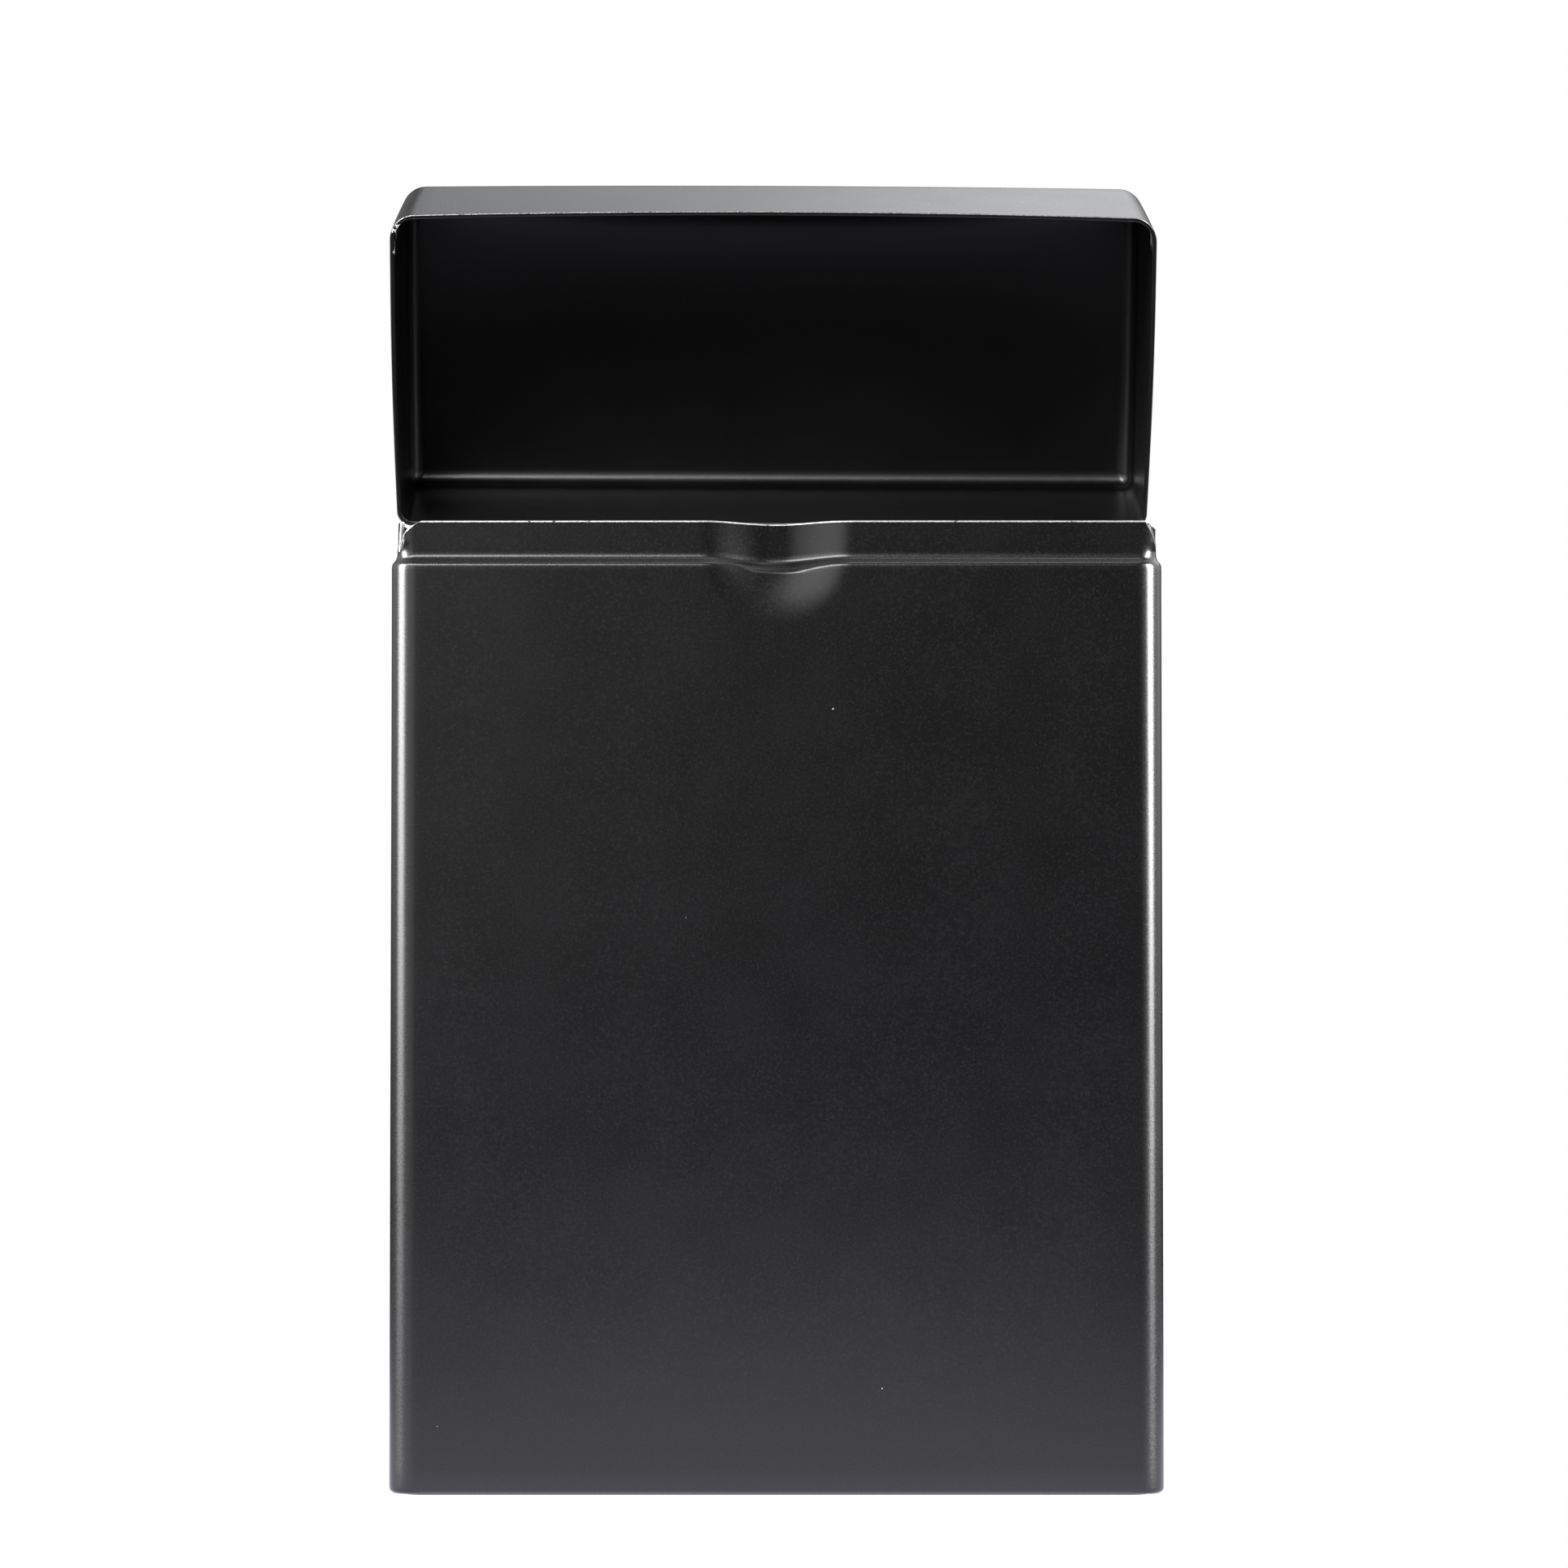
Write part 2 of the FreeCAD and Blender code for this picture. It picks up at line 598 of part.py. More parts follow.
def strip(name, x_span, z_span):
    """A flat piece of leaf against the back face."""
    return solid("Box", name, (x_span[0], "{half_depth}", z_span[0]),
                 Length="(%s)-(%s)" % (x_span[1], x_span[0]), Width="{leaf_gauge}",
                 Height="(%s)-(%s)" % (z_span[1], z_span[0]))


def make_leaf(name, label, spans, plate_z, web_z, rivet_z, bore):
    """Plate, knuckles and the webs that join them, bored and drilled."""
    pieces = [strip(name + "_plate", ("-{leaf_half}", "{leaf_half}"), plate_z)]
    for i, span in enumerate(spans):
        pieces.append(bar("%s_knuckle_%d" % (name, i), *span, "{knuckle_radius}"))
        pieces.append(strip("%s_web_%d" % (name, i), span, web_z))
    blank = fuse(name + "_solid", pieces)
    tools = [bar(name + "_bore", "-{leaf_half}-{cut_over}", "{leaf_half}+{cut_over}", bore)]
    for i, x in enumerate(rivet_places):
        tools.append(solid("Cylinder", "%s_hole_%d" % (name, i),
                           (x, "{half_depth}+{cut_margin}", rivet_z), TO_FRONT,
                           Radius="{rivet_radius}", Height="2*{cut_margin}"))
    leaf = boolean("Cut", name, blank, fuse(name + "_tools", tools))
    leaf.Label = label
    return leaf


def make_pin():
    head_end = "{pin_half}+{pin_head_length}"
    head_radius = "{pin_radius}+{pin_head_lip}"
    return fuse("hinge_pin", [
        bar("pin_rod", "-{pin_half}", "{pin_half}", "{pin_radius}"),
        bar("pin_head_left", "-(%s)" % head_end, "-{pin_half}", head_radius),
        bar("pin_head_right", "{pin_half}", head_end, head_radius),
    ])


def make_stop_lugs():
    """A lug for each lid knuckle, behind the body leaf, drawn in place for the open lid."""
    lugs = [
        solid("Box", "stop_lug_%d" % i,
              (low, "{leaf_face}+{lug_clearance}", "{hinge_height}-{lug_drop}"),
              Length="(%s)-(%s)" % (high, low), Width="{lug_gauge}", Height="{lug_height}")
        for i, (low, high) in enumerate(lid_spans)]
    bore = bar("stop_lug_bore", "-{leaf_half}", "{leaf_half}", "{pin_radius}+{pin_clearance}")
    return boolean("Cut", "stop_lugs_bored", fuse("stop_lugs", lugs), bore)


body_leaf = make_leaf(
    "body_hinge_leaf", "body_hinge_leaf", body_spans,
    plate_z=("{hinge_height}-{leaf_drop}", "{hinge_height}-{plate_start}"),
    web_z=("{hinge_height}-{web_reach}", "{hinge_height}"),
    rivet_z="{body_rivet_z}", bore="{pin_radius}")
closed_lid_leaf = make_leaf(
    "lid_hinge_leaf_closed", "lid_hinge_leaf_closed", lid_spans,
    plate_z=("{hinge_height}+{plate_start}", "{hinge_height}+{leaf_rise}"),
    web_z=("{hinge_height}", "{hinge_height}+{web_reach}"),
    rivet_z="{lid_rivet_z}", bore="{pin_radius}+{pin_clearance}")
hinge_pin = make_pin()
stop_lugs = make_stop_lugs()


# ---------------------------------------------------------------- rivets
def sink_cone(name, x, z, short):
    """Countersink in the inner face of the sheet, cut short by some depth."""
    return solid("Cone", name, (x, "{half_depth}-(1-{sink_share})*{gauge}", z), TO_FRONT,
                 Radius1="{rivet_radius}",
                 Radius2="{rivet_radius}+({rivet_sink}-{rivet_radius})"
                         "*({sink_depth}-%s)/{sink_depth}" % short,
                 Height="{sink_depth}-%s" % short)


def make_rivets(group_name, name, z):
    """Round-head rivets through leaf and sheet, closed in a countersink."""
    rivets = []
    for i, x in enumerate(rivet_places):
        shank = solid("Cylinder", "%s_shank_%d" % (name, i),
                      (x, "{leaf_face}+{shank_overlap}", z), TO_FRONT,
                      Radius="{rivet_radius}",
                      Height="{leaf_gauge}+{gauge}+{shank_overlap}-{rivet_under}")
        dome = solid("Sphere", "%s_dome_%d" % (name, i),
                     (x, "{leaf_face}+{rivet_head_height}-{rivet_ball}", z),
                     Radius="{rivet_ball}")
        limit = solid("Box", "%s_domecut_%d" % (name, i),
                      (x + "-2*{rivet_head}", "{leaf_face}", z + "-2*{rivet_head}"),
                      Length="4*{rivet_head}", Width="2*{rivet_head}", Height="4*{rivet_head}")
        head = boolean("Common", "%s_head_%d" % (name, i), dome, limit)
        tail = sink_cone("%s_tail_%d" % (name, i), x, z, "{rivet_under}")
        rivets.append(fuse("%s_%d" % (name, i), [shank, head, tail]))
    return compound(group_name, rivets)


def rivet_holes(name, z):
    """Countersunk holes for the case wall or the lid skirt."""
    holes = []
    for i, x in enumerate(rivet_places):
        holes.append(solid("Cylinder", "%s_%d" % (name, i),
                           (x, "{half_depth}+{cut_over}", z), TO_FRONT,
                           Radius="{rivet_radius}", Height="{cut_over}+{cut_margin}"))
        holes.append(sink_cone("%s_sink_%d" % (name, i), x, z, "0"))
    return fuse(name, holes)


body_rivets = make_rivets("body_leaf_rivets", "body_rivet", "{body_rivet_z}")
closed_lid_rivets = make_rivets("lid_leaf_rivets_closed", "lid_rivet", "{lid_rivet_z}")
body_shell = boolean("Cut", "body_shell", undrilled_body,
                     rivet_holes("wall_rivet_holes", "{body_rivet_z}"))
closed_lid = boolean("Cut", "drilled_lid_shell", undrilled_lid,
                     rivet_holes("skirt_rivet_holes", "{lid_rivet_z}"))
doc.recompute()

# ---------------------------------------------------------------- open lid
axis_point = Vector(0, value_of("{pin_axis_y}"), value_of("{hinge_height}"))
opening = Rotation(Vector(1, 0, 0), -value_of("{lid_angle}"))


def opened(name, source):
    """A copy of a closed piece, turned back about the pin by lid_angle."""
    turned = doc.addObject("Part::Feature", name)
    turned.Shape = source.Shape
    turned.Placement = Placement(axis_point - opening.multVec(axis_point), opening)
    return turned


lid_shell = opened("lid_shell", closed_lid)
lid_rivets = opened("lid_leaf_rivets", closed_lid_rivets)
lid_leaf = fuse("lid_hinge_leaf", [opened("lid_hinge_leaf_turned", closed_lid_leaf), stop_lugs])
doc.recompute()

# ---------------------------------------------------------------- output
NODES = {
    "body_shell": body_shell,
    "base_pan": base_pan,
    "body_hinge_leaf": body_leaf,
    "body_leaf_rivets": body_rivets,
    "hinge_pin": hinge_pin,
    "lid_shell": lid_shell,
    "lid_hinge_leaf": lid_leaf,
    "lid_leaf_rivets": lid_rivets,
}
problems = ["%s (%s): %s" % (item.Name, item.Label, item.State) for item in doc.Objects
            if "Invalid" in item.State or "Error" in item.State]
for node, item in NODES.items():
    if item.Shape.isNull() or not item.Shape.isValid() or not item.Shape.Solids:
        problems.append("%s has a bad shape" % node)
if problems:
    sys.exit("the model has failed objects:\n" + "\n".join(problems))
for node, item in NODES.items():
    item.Shape.exportStep("parts/%s.step" % node)
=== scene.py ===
"""A black sheet-metal case with a hinged lid, standing open.

The front faces -Y, left is -X and up is +Z.  The walls of the case and the lid
pressing are modelled here as outer skins, in mm, then thickened inwards and scaled
to metres.  The base pan, hinge and rivets are the CAD pieces with new materials.
"""
import json
import math

import bpy
import bmesh
from mathutils import Matrix, Vector


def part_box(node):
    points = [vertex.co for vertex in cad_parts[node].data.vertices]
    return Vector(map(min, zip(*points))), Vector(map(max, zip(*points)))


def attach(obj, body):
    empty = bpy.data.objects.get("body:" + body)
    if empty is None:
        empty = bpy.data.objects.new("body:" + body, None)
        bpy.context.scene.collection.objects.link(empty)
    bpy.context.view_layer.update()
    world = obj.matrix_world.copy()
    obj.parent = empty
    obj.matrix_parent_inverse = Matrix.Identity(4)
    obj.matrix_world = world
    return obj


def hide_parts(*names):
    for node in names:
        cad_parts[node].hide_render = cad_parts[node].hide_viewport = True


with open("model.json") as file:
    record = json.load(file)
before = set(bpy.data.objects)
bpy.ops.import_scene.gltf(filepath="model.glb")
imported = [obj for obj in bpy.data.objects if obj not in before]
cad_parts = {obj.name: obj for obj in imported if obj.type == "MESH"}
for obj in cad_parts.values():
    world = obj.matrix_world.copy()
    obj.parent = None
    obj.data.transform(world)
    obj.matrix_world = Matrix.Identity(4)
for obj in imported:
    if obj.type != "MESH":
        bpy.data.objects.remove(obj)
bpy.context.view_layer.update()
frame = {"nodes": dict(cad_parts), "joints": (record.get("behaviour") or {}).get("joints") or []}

MM = 0.001

# ------------------------------------------------------------------ dimensions, mm
shell_lo, shell_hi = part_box("body_shell")
HALF_WIDTH = (shell_hi.x - shell_lo.x) / 2 / MM
HALF_DEPTH = -shell_lo.y / MM
NECK_TOP = shell_hi.z / MM
FOOT = shell_lo.z / MM

GAUGE = 0.35                                # thickness of the sheet
CORNER = 1.95                               # radius of the case's upright corners
FRONT_HALF = HALF_WIDTH - CORNER            # straight half of the front
SIDE_HALF = HALF_DEPTH - CORNER             # straight half of a side

FOOT_ROLL = 0.45                            # radius of the rolled lower edge
STEP_Z = 72.0                               # the joggle starts
SHOULDER_Z = 72.75                          # top of the back wall
TONGUE_Z = 73.45                            # the corner slits start
NECK_INSET = 0.63                           # how far the joggle steps the front in
SIDE_LAG = 0.3                              # the sides follow the joggle fully this far
NECK_DROOP = 0.40                           # how far the recess pulls the neck down

DENT_Z = 73.0                               # deepest level of the thumb recess
DENT_HALF_WIDTH = 5.7
DENT_HALF_HEIGHT = 5.1
DENT_DEPTH = 0.95

RIM_Z = 72.9                                # free edge of the closed lid
LID_TOP = 90.1
LID_CORNER = 1.95                           # upright corners at the front
LID_BACK_CORNER = 1.2                       # upright corners at the back
LID_EDGE = 1.72                             # rounded edges of the top
LID_BACK_GAP = 0.17                         # clearance to the body's hinge leaf

# ------------------------------------------------------------------ hinge, metres
joint = frame["joints"][0]
PIVOT = Vector(joint["pos_m"])
OPEN_ANGLE = math.radians(-joint["range_deg"][0])
# carries the closed lid to its open rest
LID_TURN = (Matrix.Translation(PIVOT)
            @ Matrix.Rotation(OPEN_ANGLE, 4, Vector(joint["axis"]))
            @ Matrix.Translation(-PIVOT))
# the lid hangs a little askew in the play of its hinge
LID_PLAY = (Matrix.Translation(PIVOT + Vector((-0.00025, 0, 0)))
            @ Matrix.Rotation(math.radians(0.22), 4, "Y")
            @ Matrix.Translation(-PIVOT))


def lid_place(x, y, z):
    """A point of the closed lid, in mm, carried to the open lid, in metres."""
    return LID_TURN @ (Vector((x, y, z)) * MM)


# ------------------------------------------------------------------ small maths
def clamp(value):
    return min(1.0, max(0.0, value))


def smooth(value):
    value = clamp(value)
    return value * value * (3 - 2 * value)


def interpolate(table, value):
    """Linear between the table's points, constant beyond its ends."""
    if value <= table[0][0]:
        return table[0][1]
    for (low, at_low), (high, at_high) in zip(table, table[1:]):
        if value <= high:
            return at_low + (at_high - at_low) * (value - low) / (high - low)
    return table[-1][1]


def spread(start, end, count):
    """The ends of count equal steps, the start included."""
    return [start + (end - start) * i / count for i in range(count + 1)]


# ------------------------------------------------------------------ outline
# q runs round the case from the middle of the front, positive to the right and
# negative to the left.  Straight stretches count in mm and each corner counts 1.
Q_SIDE = FRONT_HALF + 1
Q_BACK_CORNER = Q_SIDE + 2 * SIDE_HALF
Q_BACK = FRONT_HALF + 2 + 2 * SIDE_HALF
Q_END = 2 * FRONT_HALF + 2 + 2 * SIDE_HALF
Q_NECK_BACK = Q_SIDE + 20.1                 # the side tongues end here
Q_RELIEF = Q_SIDE + 20.4                    # the straight back part starts here


def side_inset(sign, inset, z):
    """The side walls step in a little less than the front, and higher up."""
    if inset <= SIDE_LAG:
        return inset
    low, high = (0.44, 0.50) if sign < 0 else (0.42, 0.42)
    flat = SIDE_LAG + (low - SIDE_LAG) * smooth((inset - SIDE_LAG) / (NECK_INSET - SIDE_LAG))
    return flat + (high - low) * smooth((z - TONGUE_Z) / 0.4)


def outline(q, inset, z):
    sign = 1 if q >= 0 else -1
    run = abs(q)
    radius = CORNER - inset
    # the walls stand a little further apart at the base than at the shoulder
    splay = 0.20 * (1 - clamp(z / 70.0))
    half_x = HALF_WIDTH + splay - side_inset(sign, inset, z)
    half_y = HALF_DEPTH - inset
    if run <= FRONT_HALF:
        return q * (half_x - radius) / FRONT_HALF, -half_y
    if run <= Q_SIDE:
        angle = (run - FRONT_HALF) * math.pi / 2
        return (sign * (half_x - radius + radius * math.sin(angle)),
                -half_y + radius - radius * math.cos(angle))
    if run <= Q_BACK_CORNER:
        part = (run - Q_SIDE) / (2 * SIDE_HALF)
        # the side tongues lean inwards towards the back
        lean = 0.22 * part * smooth((z - 73.0) / 0.6)
        return sign * (half_x - lean), -half_y + radius + part * (2 * half_y - 2 * radius)
    if run <= Q_BACK:
        angle = (run - Q_BACK_CORNER) * math.pi / 2
        return (sign * (half_x - radius + radius * math.cos(angle)),
                half_y - radius + radius * math.sin(angle))
    return sign * (half_x - radius) * (1 - (run - Q_BACK) / FRONT_HALF), half_y


# ------------------------------------------------------------------ case walls
# (z, inset of the front) up the joggle
JOGGLE = [
    (72.2, 0.004), (72.32, 0.02), (72.42, 0.05), (72.51, 0.095), (72.60, 0.16),
    (72.68, 0.235), (72.76, 0.32), (72.84, 0.405), (72.92, 0.475), (73.0, 0.525),
    (73.1, 0.567), (73.2, 0.598), (73.3, 0.62), (73.4, 0.63), (TONGUE_Z, NECK_INSET),
]

# edges of the corner slits: (z, q beyond the end of the straight front)
SLIT_FRONT_LEFT = [
    (TONGUE_Z, 0.66), (74.0, 0.625), (74.8, 0.49), (75.2, 0.29), (75.5, 0.10),
    (75.68, -0.15), (75.85, -0.55),
]
SLIT_SIDE_LEFT = [(TONGUE_Z, 0.73), (75.85, 0.56)]
SLIT_FRONT_RIGHT = [(TONGUE_Z, 0.93), (75.85, 0.236)]
SLIT_SIDE_RIGHT = [(TONGUE_Z, 0.985), (75.85, 0.33)]

# tops of the side tongues: (q beyond the end of the straight front, z)
TOP_LEFT = [(0.4, 75.82), (0.8, 75.75), (1.05, 75.62), (4.0, 75.55), (21.0, 75.5)]
TOP_RIGHT = [
    (0.0, 75.68), (0.6, 75.62), (0.85, 75.5), (1.05, 75.32), (4.0, 75.35), (21.0, 75.4),
]

TONGUE_LEVELS = (0.1, 0.24, 0.4, 0.56, 0.7, 0.82, 0.92, 1.0)   # parts of the height
EDGE_REACH = 4.0                            # a slit's slant fades out over this q

# columns round the corners, as q beyond the end of the straight front
CORNER_LAST = 0.62
CORNER_LEFT = (SLIT_FRONT_LEFT[0][1], SLIT_SIDE_LEFT[0][1], 0.80, 0.87, 0.94)
CORNER_RIGHT = (0.69, 0.76, 0.82, 0.88, SLIT_FRONT_RIGHT[0][1], SLIT_SIDE_RIGHT[0][1])


def dent(x, z):
    """How far the thumb recess presses the sheet in: an oval whose top runs straight up."""
    above = z - DENT_Z
    if above <= 0:
        reach = math.hypot(x / DENT_HALF_WIDTH, above / DENT_HALF_HEIGHT)
        depth = DENT_DEPTH - 0.25 + 0.25 * smooth(above + 1)
    else:
        reach = abs(x) / (DENT_HALF_WIDTH + 0.1 * above)
        depth = DENT_DEPTH - 0.12 * above / 2.85
    return depth * (1 - smooth((reach - 0.12) / 0.88))


def dip(x):
    """Share of the droop: the drawn-in sheet pulls the edges down at the recess."""
    return 1 - smooth(abs(x + 0.2) / 5.4)


def body_point(q, z, inset, droop=0.0, flatten=0.0):
    x, y = outline(q, inset, z)
    run = abs(q)
    if run <= FRONT_HALF:
        belly = 0.36 * (1 - (x / FRONT_HALF) ** 2) * smooth(z / 40.0)
        y += dent(x, z) - belly
        z -= droop * dip(x)
    elif run < Q_SIDE:
        # the front tongue was never bent as far round as the walls below it
        y -= (y + HALF_DEPTH - inset) * flatten
    elif Q_SIDE < run < Q_BACK_CORNER:
        bulge = 0.05 * math.sin(math.pi * (run - Q_SIDE) / (2 * SIDE_HALF))
        x += math.copysign(bulge * math.sin(math.pi * clamp(z / SHOULDER_Z)), x)
    return Vector((x, y, z))


def foot_point(q, z, inset):
    """A point below the joggle; the roll is a little fuller at the corners."""
    point = body_point(q, z, inset)
    fullness = max(smooth(1 - abs(abs(q) - corner - 0.5) / 1.7)
                   for corner in (FRONT_HALF, Q_BACK_CORNER))
    point.z -= 0.04 * fullness * (1 - smooth((z - FOOT) / 2.5))
    return point


def body_columns():
    """q of each column.  Both edges of every slit are columns of their own."""
    front = spread(0, 7.0, 20)
    front += spread(7.0, 26.0, 14)[1:]
    front += spread(26.0, FRONT_HALF, 4)[1:]
    front += [FRONT_HALF + t for t in spread(0, CORNER_LAST, 7)[1:]]

    def with_corner(extra):
        return sorted({round(q, 6) for q in front + [FRONT_HALF + t for t in extra]})

    right = with_corner(CORNER_RIGHT)
    # no left column may lie strictly between these two
    gap = (FRONT_HALF + CORNER_LAST, FRONT_HALF + CORNER_LEFT[0])
    left = [q for q in with_corner(CORNER_LEFT) if not gap[0] < q < gap[1]]

    rest = [Q_SIDE]
    rest += [Q_SIDE + t for t in spread(0, 20.1, 18)[1:]]
    rest += [Q_RELIEF, Q_SIDE + 20.9]
    rest += [Q_BACK_CORNER + t for t in spread(0, 1, 10)]
    rest += [Q_BACK + t for t in spread(0, FRONT_HALF, 22)[1:-1]]
    return sorted(-q for q in left + rest if q > 0) + right + rest + [Q_END]


def add_row(bm, below, points, closed=False):
    """Adds a row of vertices and joins it to the row below, if there is one."""
    row = [bm.verts.new(point) for point in points]
    if below:
        count = len(row)
        for i in range(count if closed else count - 1):
            k = (i + 1) % count
            bm.faces.new((below[i], below[k], row[k], row[i]))
    return row


def slit_edge(sign, table):
    """q of a slit's edge as a function of z; sign is -1 at the left corner."""
    return lambda z: sign * (FRONT_HALF + interpolate(table, z))


def side_top(table):
    """z of a side tongue's top as a function of q, falling away at the back end."""
    def top_of(q):
        beyond = abs(q) - FRONT_HALF
        return interpolate(table, beyond) - 0.8 * smooth((beyond - 19.6) / 1.5)
    return top_of


def add_tongue(bm, base, top_of, low_edge=None, high_edge=None, flatten=0.0):
    """Raises a tongue on base, a dict of vertices by q, with slanting end edges."""
    columns = list(base)
    first, last = columns[0], columns[-1]
    row = list(base.values())
    for level in TONGUE_LEVELS:
        edge_z = TONGUE_Z + level * (NECK_TOP - TONGUE_Z)
        low_shift = low_edge(edge_z) - first if low_edge else 0.0
        high_shift = high_edge(edge_z) - last if high_edge else 0.0
        points = []
        for q in columns:
            moved = (q + low_shift * max(0.0, 1 - (q - first) / EDGE_REACH)
                     + high_shift * max(0.0, 1 - (last - q) / EDGE_REACH))
            z = TONGUE_Z + level * (top_of(moved) - TONGUE_Z)
            points.append(body_point(moved, z, NECK_INSET, droop=NECK_DROOP - 0.12 * level,
                                     flatten=flatten * smooth((z - TONGUE_Z) / 0.75)))
        row = add_row(bm, row, points)


def build_body():
    bm = bmesh.new()
    columns = body_columns()

    # closed rings from the rolled lower edge to the joggle: (z, inset)
    levels = []
    for i in range(9):
        angle = math.pi / 2 * (1 - i / 8)
        levels.append((FOOT + FOOT_ROLL - FOOT_ROLL * math.sin(angle),
                       FOOT_ROLL - FOOT_ROLL * math.cos(angle)))
    heights = spread(FOOT + FOOT_ROLL, 5.0, 3)[1:]
    heights += spread(5.0, 66.0, 26)[1:]
    heights += spread(66.0, STEP_Z, 18)[1:]
    levels += [(z, 0.0) for z in heights]
    ring = None
    for z, inset in levels:
        ring = add_row(bm, ring, [foot_point(q, z, inset) for q in columns], closed=True)
    ring = dict(zip(columns, ring))

    # back wall and back corners, straight up to the shoulder
    back = [q for q in columns if q >= Q_RELIEF - 1e-6]
    back += [q for q in columns if q <= -(Q_RELIEF - 1e-6)]
    row = [ring[q] for q in back]
    for z in (72.25, 72.5, SHOULDER_Z):
        row = add_row(bm, row, [body_point(q, z, 0.0) for q in back])

    # joggle, front and sides
    front = [q for q in columns if abs(q) <= Q_NECK_BACK + 1e-6]
    row = [ring[q] for q in front]
    for z, inset in JOGGLE:
        droop = NECK_DROOP * smooth(z - 71.6)
        row = add_row(bm, row, [body_point(q, z, inset, droop=droop) for q in front])

    # tongues at the front and on each side, parted by the slits
    front_left = slit_edge(-1, SLIT_FRONT_LEFT)
    side_left = slit_edge(-1, SLIT_SIDE_LEFT)
    front_right = slit_edge(1, SLIT_FRONT_RIGHT)
    side_right = slit_edge(1, SLIT_SIDE_RIGHT)

    def neck(low, high):
        slack = 1e-4
        return {q: vert for q, vert in zip(front, row) if low - slack <= q <= high + slack}

    add_tongue(bm, neck(front_left(TONGUE_Z), front_right(TONGUE_Z)), lambda q: NECK_TOP,
               low_edge=front_left, high_edge=front_right, flatten=0.68)
    add_tongue(bm, neck(-Q_END, side_left(TONGUE_Z)), side_top(TOP_LEFT),
               high_edge=side_left)
    add_tongue(bm, neck(side_right(TONGUE_Z), Q_END), side_top(TOP_RIGHT),
               low_edge=side_right)
    return bm


# ------------------------------------------------------------------ lid pressing
def lid_point(q, rise, inset, z):
    """rise is 0 at the free edge and 1 at the top; inset is for the top edge."""
    sign = 1 if q >= 0 else -1
    run = abs(q)
    front_flare = 0.70 * (1 - rise) + 0.12 * rise + 0.05 * math.sin(math.pi * rise)
    back_flare = 0.13 * (1 - rise) + 0.03 * rise
    shrink = max(0.0, 1 - inset / LID_EDGE)
    radius = LID_CORNER * shrink
    back_radius = LID_BACK_CORNER * shrink
    half_front = HALF_WIDTH + front_flare - inset
    half_back = HALF_WIDTH + back_flare - inset
    half_y = HALF_DEPTH - inset
    back_y = half_y - LID_BACK_GAP

    def half_x(y):
        return half_back + (half_front - half_back) * (half_y - y) / (2 * half_y)

    front_x = half_x(-half_y + radius) - radius
    back_x = half_x(half_y - back_radius) - back_radius
    if run <= FRONT_HALF:
        crown = 0.40 * (1 - rise) + 0.14 * rise
        return Vector((q * front_x / FRONT_HALF,
                       -half_y - crown * (1 - (q / FRONT_HALF) ** 2), z))
    if run <= Q_SIDE:
        angle = (run - FRONT_HALF) * math.pi / 2
        return Vector((sign * (front_x + radius * math.sin(angle)),
                       -half_y + radius - radius * math.cos(angle), z))
    if run <= Q_BACK_CORNER:
        part = (run - Q_SIDE) / (2 * SIDE_HALF)
        x = (front_x + radius) * (1 - part) + (back_x + back_radius) * part
        y = (-half_y + radius) * (1 - part) + (back_y - back_radius) * part
        bulge = 0.125 * (1 - 0.6 * rise) * math.sin(math.pi * part)
        return Vector((sign * (x + bulge), y, z))
    if run <= Q_BACK:
        angle = (run - Q_BACK_CORNER) * math.pi / 2
        return Vector((sign * (back_x + back_radius * math.cos(angle)),
                       back_y - back_radius + back_radius * math.sin(angle), z))
    return Vector((sign * back_x * (1 - (run - Q_BACK) / FRONT_HALF), back_y, z))


def dimpled(point):
    """Presses in a small round dimple near the front of each side."""
    reach = math.hypot(point.y - (-HALF_DEPTH + 3.4), point.z - (RIM_Z + 1.5)) / 1.15
    point.x -= math.copysign(0.16 * max(0.0, 1 - reach * reach) ** 2, point.x)
    return point


def add_lid_walls(bm):
    half = spread(0, FRONT_HALF, 22)
    for start, length, count in ((FRONT_HALF, 1, 12), (Q_SIDE, 2 * SIDE_HALF, 22),
                                 (Q_BACK_CORNER, 1, 12), (Q_BACK, FRONT_HALF, 22)):
        half += [start + t for t in spread(0, length, count)[1:]]
    columns = [-q for q in half[1:-1]][::-1] + half

    edge_z = LID_TOP - LID_EDGE
    heights = spread(RIM_Z, RIM_Z + 3.6, 12) + spread(RIM_Z + 3.6, edge_z, 9)[1:]
    levels = [(z, 0.0) for z in heights]    # (z, inset)
    for i in range(1, 11):
        angle = math.pi / 2 * i / 10
        levels.append((edge_z + LID_EDGE * math.sin(angle), LID_EDGE * (1 - math.cos(angle))))
    ring = None
    for z, inset in levels:
        rise = (z - RIM_Z) / (LID_TOP - RIM_Z)
        points = [dimpled(lid_point(q, rise, inset, z)) for q in columns]
        ring = add_row(bm, ring, points, closed=True)


